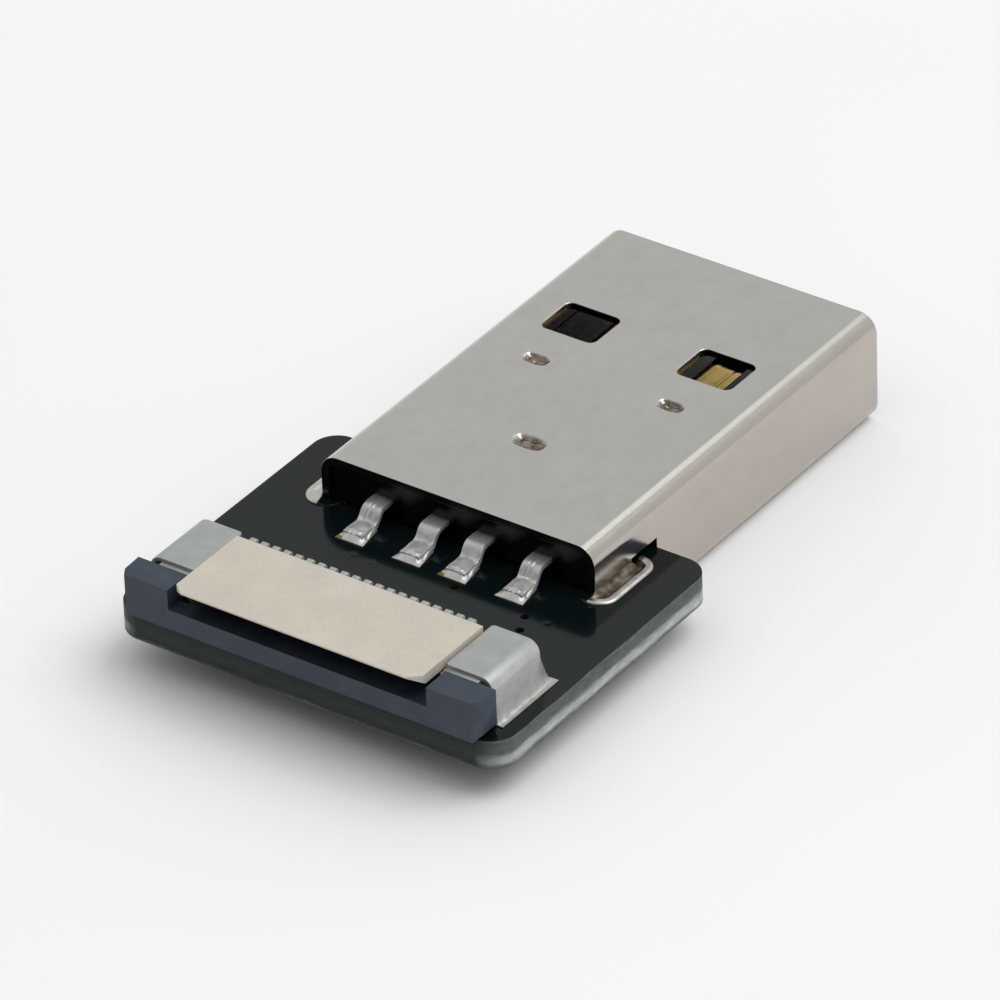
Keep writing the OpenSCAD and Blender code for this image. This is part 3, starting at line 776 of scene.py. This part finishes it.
for s, node in ((-1, "tab_solder_left"), (1, "tab_solder_right")):
    def h(x, y, d, s=s):
        """x is measured outwards from the slot's middle, y along it, d from the edge."""
        edge = 1 - (1 - min(d / 0.1, 1.0)) ** 2
        z = 0.035 + 0.075 * edge
        inside = min(1.0, max(0.0, (d - 0.26) / 0.12))
        z -= 0.05 * inside * inside * (3 - 2 * inside)
        span = 1.0 if -1.28 <= y <= 0.95 else math.exp(-((y + 1.28 if y < 0 else y - 0.95) / 0.16) ** 2)
        out = abs(x + 0.03 if x > -0.18 else x + 0.33)
        z += 0.2 * span * math.exp(-out / 0.09) * (1 + 0.5 * ns(x * 0.5, y, 0, 1.7, s + 3))
        z += 0.012 * ns(x, y, 0, 1.6, s + 9) * edge
        if x < -0.08:                     # lies flat under the shell
            z = z + (0.04 - z) * min(1.0, (-0.08 - x) / 0.2)
        return z
    bm = bmesh.new()
    tab_patch(bm, s, h, 0.035)
    # the plug of solder in the slot and its bead under the board
    src = cad_copy(node)
    low = [v for v in src.verts if v.co.z > (SZ + 0.034) * MM]
    bmesh.ops.delete(src, geom=low, context="VERTS")
    holes = [e for e in src.edges if e.is_boundary]
    bmesh.ops.holes_fill(src, edges=holes, sides=0)
    holes = [e for e in src.edges if e.is_boundary]
    if holes:
        bmesh.ops.triangle_fill(src, edges=holes, use_beauty=True)
    bmesh.ops.triangulate(src, faces=[f for f in src.faces if len(f.verts) > 60])
    tmp = bpy.data.meshes.new("tmp")
    src.to_mesh(tmp)
    src.free()
    bm.from_mesh(tmp)
    bpy.data.meshes.remove(tmp)
    o = finish_mesh(node + "_look", bm, node, 60)
    o.data.materials.append(FLUX_AND_REFLECTION)
    o.data.materials.append(MATS["solder_mask"])
    for f in o.data.polygons:
        c = f.center
        x, y = s * (c.x / MM) - 6.03, c.y / MM - SY - 1.28
        rim = 0.757 - (math.hypot(x, max(0.0, abs(y) - 1.0)))
        wob = 0.05 * ns(x, y, 0, 2.2, s + 4)
        # the inside of the right ring takes the brownish look: flux smudges plus a painted reflection of the shell's
        # side wall
        if s > 0 and rim > 0.3 + wob and f.normal.z > 0.3:
            f.material_index = 1
        if x < -0.05 and f.normal.z > 0.1 and c.z / MM - SZ > 0:
            f.material_index = 2

# ---- solder along the fitting nails
for s, node in ((-1, "nail_solder_left"), (1, "nail_solder_right")):
    def h(x, y, s=s):
        """Fillet against the nail's outer side."""
        u = (x - 7.45) / (0.43 + 0.03 * ns(y, s, 0, 1.4, 4))
        rear = min(1.0, max(0.0, (-5.02 - y) / 0.5))
        end = min(1.0, max(0.0, (y + 8.44) / 0.1)) * rear ** 1.1
        top = 1.05 + 0.16 * ns(y, s, 0, 0.9, 7)
        z = 0.045 + (top - 0.045) * max(0.0, 1 - u) ** 4.2 * end
        z += 0.016 * ns(x, y, 0, 2.6, s) + 0.008 * ns(x, y, 0, 7.0, s)
        z += 0.07 * math.exp(-((x - 7.66) / 0.08) ** 2 - ((y + 7.95) / 0.12) ** 2)
        z -= 0.05 * math.exp(-((x - 7.6) / 0.08) ** 2 - ((y + 7.62) / 0.12) ** 2)
        return z
    bm = bmesh.new()
    height_patch(bm, 7.42, 7.885, -8.445, -5.01, 26, 90, h, 0.02, place=lambda x, y, z, s=s: P(s * x, y, z))
    o = finish_mesh(node + "_look", bm, node, 70)
    o.data.materials[0] = NAILSOLDER

# ---- pads: plated rings of the small holes lie under the solder mask
pads, rings = cad_copy("copper_pads"), cad_copy("copper_pads")


def near_via(f):
    c = f.calc_center_median()
    x, y = c.x / MM, c.y / MM - SY
    return any((x - a) ** 2 + (y - b) ** 2 < 0.325 ** 2 for a, b in VIAS)


bmesh.ops.delete(pads, geom=[f for f in pads.faces if near_via(f)], context="FACES")
bmesh.ops.delete(rings, geom=[f for f in rings.faces if not near_via(f)], context="FACES")
finish_mesh("copper_pads_look", pads, "copper_pads")
# the mask runs over the rings: nearly flush, three of the holes tented
for v in rings.verts:
    z = v.co.z / MM - SZ
    if z > 0.001:
        v.co.z = (SZ + 0.006) * MM
    elif z < -1.201:
        v.co.z = (SZ - 1.206) * MM
for k, (a, b) in enumerate(VIAS):
    if k in (0, 1, 2):
        continue
    height = lambda x, y, a=a, b=b: 0.0075 - 0.004 * math.exp(-((x - a) ** 2 + (y - b) ** 2) / 0.02)
    loops = []
    for r in (0.0, 0.05, 0.1, 0.15, 0.2, 0.26, 0.31):
        n = 1 if r == 0 else 24
        loops.append([rings.verts.new(P(a + r * math.cos(t * math.tau / 24), b + r * math.sin(t * math.tau / 24),
                      height(a + r, b) if r < 0.31 else -0.004)) for t in range(n)])
    for t in range(24):
        rings.faces.new((loops[0][0], loops[1][t], loops[1][(t + 1) % 24]))
        for u, v in zip(loops[1:], loops[2:]):
            rings.faces.new((u[t], v[t], v[(t + 1) % 24], u[(t + 1) % 24]))
    rings.faces.new([loops[-1][t] for t in range(23, -1, -1)])
for f in rings.faces:
    c = f.calc_center_median()
    x, y = c.x / MM, c.y / MM - SY
    r = min(math.hypot(x - a, y - b) for a, b in VIAS[:3])
    f.material_index = 1 if (r < 0.185 and abs(f.normal.z) < 0.5) else 0
o = finish_mesh("plated_holes_look", rings, "copper_pads", 35, [mat_barrel()])
o.data.materials[0] = MATS["solder_mask"]

# ---- the shell's three dents, pressed and drawn
for k, (dx, dy, w, l) in enumerate(((0.0, 4.62, 1.4, 0.86), (-2.97, 9.32, 1.1, 0.68), (2.97, 9.32, 1.1, 0.68))):
    def h(x, y, k=k, dx=dx, dy=dy, w=w, l=l):
        u, v = (x - dx) / (w / 2), (y - dy) / (l / 2)
        r = (abs(u) ** 3.2 + abs(v) ** 3.2) ** (1 / 3.2)
        z = TOP + 0.0015
        if r < 1.04:
            t = min(1.0, (1.04 - r) / 0.4)
            z -= 0.15 * t * t * (3 - 2 * t)
            z += t * (0.05 * ns(u, v, 0, 1.5, k + 21) + 0.03 * ns(u, v, 0, 3.4, k + 31))
            z += 0.05 * t * math.exp(-((u + 0.45) / 0.2) ** 2 - ((v - 0.1) / 0.5) ** 2)
        lip = math.exp(-((r - 1.14) / 0.11) ** 2) * max(0.0, min(1.0, (1.6 - max(abs(u) * 0.97, abs(v) * 0.97)) * 4))
        return z + 0.009 * lip
    bm = bmesh.new()
    mx, my = w / 2 + 0.34, l / 2 + 0.26
    height_patch(bm, dx - mx, dx + mx, dy - my, dy + my, 64, 48, h, TOP - 0.26)
    o = finish_mesh("shell_dent_%d" % (k + 1), bm, "plug_shell", 60)
    o.data.materials[0] = DENT

# ------------------------------------------------------------------ floor and light

floor_me = bpy.data.meshes.new("floor")
bm = bmesh.new()
bmesh.ops.create_grid(bm, x_segments=1, y_segments=1, size=1.5)
bm.to_mesh(floor_me)
bm.free()
floor = bpy.data.objects.new("floor", floor_me)
bpy.context.scene.collection.objects.link(floor)
fm = Mat("floor_card")
fn = fm.noise(30, 2, 0.5)
fr = fm.ramp(fn, "Fac", [(0.3, 0.94), (0.7, 0.96)])
fm.l(fr, "Color", fm.b, "Base Color")
fm.set(Roughness=0.9)
fm.b.inputs["Specular IOR Level"].default_value = 0.1
floor_me.materials.append(fm.m)


def area(name, loc, target, size, power, color=(1, 1, 1), size_y=None):
    d = bpy.data.lights.new(name, "AREA")
    d.shape = "RECTANGLE" if size_y else "SQUARE"
    d.size = size
    if size_y:
        d.size_y = size_y
    d.energy = power
    d.color = color
    o = bpy.data.objects.new(name, d)
    bpy.context.scene.collection.objects.link(o)
    o.location = Vector(loc)
    o.rotation_mode = "QUATERNION"
    o.rotation_quaternion = (Vector(target) - Vector(loc)).to_track_quat("-Z", "Y")
    return o


w = bpy.data.worlds.new("studio")
bpy.context.scene.world = w
w.use_nodes = True
bg = w.node_tree.nodes["Background"]
# a bright room above and behind, darker behind the camera
wt = w.node_tree
tc = wt.nodes.new("ShaderNodeTexCoord")
dot = wt.nodes.new("ShaderNodeVectorMath")
dot.operation = "DOT_PRODUCT"
dot.inputs[1].default_value = (0.25, -0.95, -0.15)
ramp = wt.nodes.new("ShaderNodeValToRGB")
ramp.color_ramp.elements[0].position = 0.1
ramp.color_ramp.elements[0].color = (0.86, 0.86, 0.86, 1)
ramp.color_ramp.elements[1].position = 0.75
ramp.color_ramp.elements[1].color = (0.18, 0.18, 0.18, 1)
wt.links.new(tc.outputs["Generated"], dot.inputs[0])
wt.links.new(dot.outputs["Value"], ramp.inputs["Fac"])
wt.links.new(ramp.outputs["Color"], bg.inputs["Color"])
bg.inputs["Strength"].default_value = 0.9

area("top_light", (0.3, 0.15, 0.6), (0, 0, 0), 0.5, 1.9)
area("back_light", (0.02, 0.4, 0.45), (0, 0, 0), 0.26, 0.055, color=(1.0, 0.99, 0.9), size_y=0.08)

bpy.context.scene.view_settings.view_transform = "Standard"
bpy.context.scene.view_settings.look = "None"
